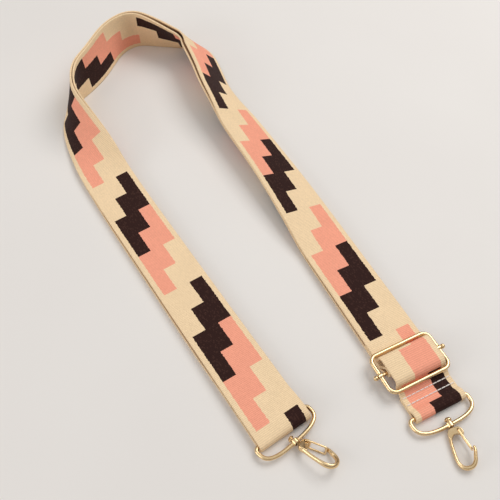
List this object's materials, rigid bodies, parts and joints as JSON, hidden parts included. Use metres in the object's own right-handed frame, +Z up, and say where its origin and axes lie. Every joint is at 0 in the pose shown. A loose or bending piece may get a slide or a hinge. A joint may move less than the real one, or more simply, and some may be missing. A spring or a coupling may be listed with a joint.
{
  "type": "detachable bag strap",
  "caption": "Doubled patterned webbing strap with a slide adjuster and a swivel snap hook on a D-ring at each end, laid in a loop.",
  "frame": {"origin": "centre of the laid strap's bounding box, on the surface it lies on", "axes": "+Z up; +Y from the snap hooks towards the turn; +X to the right, towards the leg with the slide adjuster"},
  "size_m": [0.3022, 0.4112, 0.0383],
  "materials": {
    "webbing": "ribbed woven webbing with a repeating stepped block pattern in cream, salmon pink and dark brown",
    "thread": "pale twisted sewing thread",
    "hardware": "polished pale gold plating"
  },
  "bodies": {
    "strap": {"left_leg_upper_web": "webbing", "left_leg_lower_web": "webbing", "left_turn_outer_web": "webbing", "left_turn_inner_web": "webbing", "top_turn_outer_web": "webbing", "top_turn_inner_web": "webbing", "right_turn_outer_web": "webbing", "right_turn_inner_web": "webbing", "right_leg_upper_web": "webbing", "right_leg_lower_web": "webbing", "right_feed_upper_web": "webbing", "right_feed_lower_web": "webbing", "left_fold_web": "webbing", "right_tab_web": "webbing", "tab_stitches_1": "thread", "tab_stitches_2": "thread"},
    "left_ring": {"left_d_ring": "hardware"},
    "left_hook": {"left_hook_body": "hardware", "left_swivel_washer": "hardware"},
    "left_gate": {"left_gate_wire": "hardware"},
    "right_ring": {"right_d_ring": "hardware"},
    "right_hook": {"right_hook_body": "hardware", "right_swivel_washer": "hardware"},
    "right_gate": {"right_gate_wire": "hardware"},
    "slider": {"slider_centre_bar": "hardware", "slider_hump_web": "webbing", "anchor_loop_web": "webbing", "anchor_stitches_1": "thread", "anchor_stitches_2": "thread"},
    "slider_frame": {"slider_frame": "hardware"}
  },
  "joints": [
    {"name": "left_ring_swing", "type": "hinge", "parent": "strap", "child": "left_ring", "pos_m": [0.02851, -0.1782, 0.0032], "axis": [-0.7455, -0.6665, 0], "range_deg": [-110, 110]},
    {"name": "left_hook_swivel", "type": "hinge", "parent": "left_ring", "child": "left_hook", "pos_m": [0.03714, -0.18786, 0.00423], "axis": [0.8534, -0.5158, 0.0756], "continuous": true},
    {"name": "left_gate_swing", "type": "hinge", "parent": "left_hook", "child": "left_gate", "pos_m": [0.04279, -0.18822, 0.00319], "axis": [0.1885, 0.4405, 0.8777], "range_deg": [-30, 0], "stiffness_Nm_per_rad": 0.005, "springref_deg": 5.16},
    {"name": "right_ring_swing", "type": "hinge", "parent": "strap", "child": "right_ring", "pos_m": [0.12772, -0.1651, 0.0032], "axis": [-0.8942, -0.4478, 0], "range_deg": [-110, 110]},
    {"name": "right_hook_swivel", "type": "hinge", "parent": "right_ring", "child": "right_hook", "pos_m": [0.13354, -0.17673, 0.00334], "axis": [0.2689, -0.9631, 0.0105], "continuous": true},
    {"name": "right_gate_swing", "type": "hinge", "parent": "right_hook", "child": "right_gate", "pos_m": [0.13755, -0.18071, 0.00441], "axis": [-0.3339, -0.083, 0.9389], "range_deg": [-30, 0], "stiffness_Nm_per_rad": 0.005, "springref_deg": 5.16},
    {"name": "adjuster_slide", "type": "slide", "parent": "strap", "child": "slider", "axis": [-0.4478, 0.8942, 0], "range_m": [0, 0.06], "deforming": ["right_feed_upper_web", "right_feed_lower_web"]},
    {"name": "adjuster_frame_rock", "type": "hinge", "parent": "slider", "child": "slider_frame", "pos_m": [0.11326, -0.13622, 0.0081], "axis": [-0.8942, -0.4478, 0], "range_deg": [-3, 3]}
  ]
}
